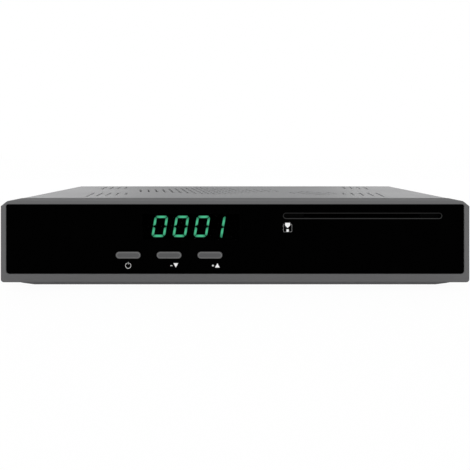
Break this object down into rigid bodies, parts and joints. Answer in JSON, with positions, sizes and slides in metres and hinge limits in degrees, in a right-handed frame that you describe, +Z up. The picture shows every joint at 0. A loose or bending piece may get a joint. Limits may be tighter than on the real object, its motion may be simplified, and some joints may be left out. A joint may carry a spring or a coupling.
{
  "type": "satellite tv receiver",
  "caption": "Flat set-top receiver with a gloss black front, lit digits, three keys, a card slot and a slotted steel cover.",
  "frame": {"origin": "under the middle of the whole object, on the surface its feet stand on", "axes": "+Z up; the front panel faces -Y; +X is to the right seen from the front"},
  "size_m": [0.22, 0.16, 0.042],
  "materials": {
    "bezel_grey": "fine textured moulding",
    "window_black": "polished smoked acrylic",
    "button_grey": "satin moulding",
    "slot_plastic": "satin moulding",
    "case_paint": "satin powder coat",
    "tray_steel": "galvanised sheet",
    "rear_paint": "satin powder coat",
    "foot_rubber": "moulded",
    "board_laminate": "solder resist",
    "black_plastic": "moulded",
    "white_plastic": "moulded",
    "socket_metal": "nickel plate",
    "screw_steel": "zinc plate",
    "sink_aluminium": "extruded",
    "contact_gold": "gold flash",
    "chip_resin": "moulded resin",
    "segment_green": "lit",
    "ribbon_film": "film"
  },
  "bodies": {
    "receiver": {"aerial_insulators": "white_plastic", "aerial_nuts": "socket_metal", "aerial_socket_in": "socket_metal", "aerial_socket_out": "socket_metal", "audio_jack": "black_plastic", "board_screws": "screw_steel", "capacitors": "sink_aluminium", "card_reader_contacts": "contact_gold", "card_reader_frame": "black_plastic", "card_reader_lid": "tray_steel", "card_slot_guide": "slot_plastic", "chassis": "tray_steel", "coils": "chip_resin", "cover_screws": "screw_steel", "data_socket_shell": "socket_metal", "data_socket_tongue": "black_plastic", "digit_display": "black_plastic", "foot_front_left": "foot_rubber", "foot_front_right": "foot_rubber", "foot_rear_left": "foot_rubber", "foot_rear_right": "foot_rubber", "front_bezel": "bezel_grey", "front_board": "board_laminate", "front_board_screws": "screw_steel", "front_window": "window_black", "heat_sink": "sink_aluminium", "infrared_receiver": "black_plastic", "lit_segments": "segment_green", "main_board": "board_laminate", "memory_chips": "chip_resin", "network_contacts": "contact_gold", "network_jack": "black_plastic", "optical_socket": "black_plastic", "power_inlet": "black_plastic", "power_inlet_pin": "socket_metal", "processor": "chip_resin", "rear_panel": "rear_paint", "ribbon_cable": "ribbon_film", "ribbon_sockets": "white_plastic", "rocker_frame": "black_plastic", "rocker_pin": "screw_steel", "side_screws": "screw_steel", "tact_switches": "black_plastic", "top_cover": "case_paint", "tuner_can": "tray_steel", "tuner_lid": "tray_steel", "video_socket_shell": "socket_metal", "video_socket_tongue": "black_plastic"},
    "power_key": {"power_button": "button_grey", "power_plunger": "black_plastic"},
    "channel_down_key": {"channel_down_button": "button_grey", "channel_down_plunger": "black_plastic"},
    "channel_up_key": {"channel_up_button": "button_grey", "channel_up_plunger": "black_plastic"},
    "switch_rocker": {"rocker": "black_plastic"},
    "shutter_flap": {"optical_shutter": "black_plastic"}
  },
  "joints": [
    {"name": "power_key_press", "type": "slide", "parent": "receiver", "child": "power_key", "axis": [0, 1, 0], "range_m": [0, 0.0004], "stiffness_N_per_m": 1500, "springref_m": -0.0002},
    {"name": "channel_down_key_press", "type": "slide", "parent": "receiver", "child": "channel_down_key", "axis": [0, 1, 0], "range_m": [0, 0.0004], "stiffness_N_per_m": 1500, "springref_m": -0.0002},
    {"name": "channel_up_key_press", "type": "slide", "parent": "receiver", "child": "channel_up_key", "axis": [0, 1, 0], "range_m": [0, 0.0004], "stiffness_N_per_m": 1500, "springref_m": -0.0002},
    {"name": "rocker_tilt", "type": "hinge", "parent": "receiver", "child": "switch_rocker", "pos_m": [0.0904, 0.0698, 0.022], "axis": [0, 0, 1], "range_deg": [-16, 0]},
    {"name": "shutter_swing", "type": "hinge", "parent": "receiver", "child": "shutter_flap", "pos_m": [0.0388, 0.0686, 0.0175], "axis": [1, 0, 0], "range_deg": [-80, 0], "stiffness_Nm_per_rad": 0.0004, "springref_deg": 22.92}
  ]
}
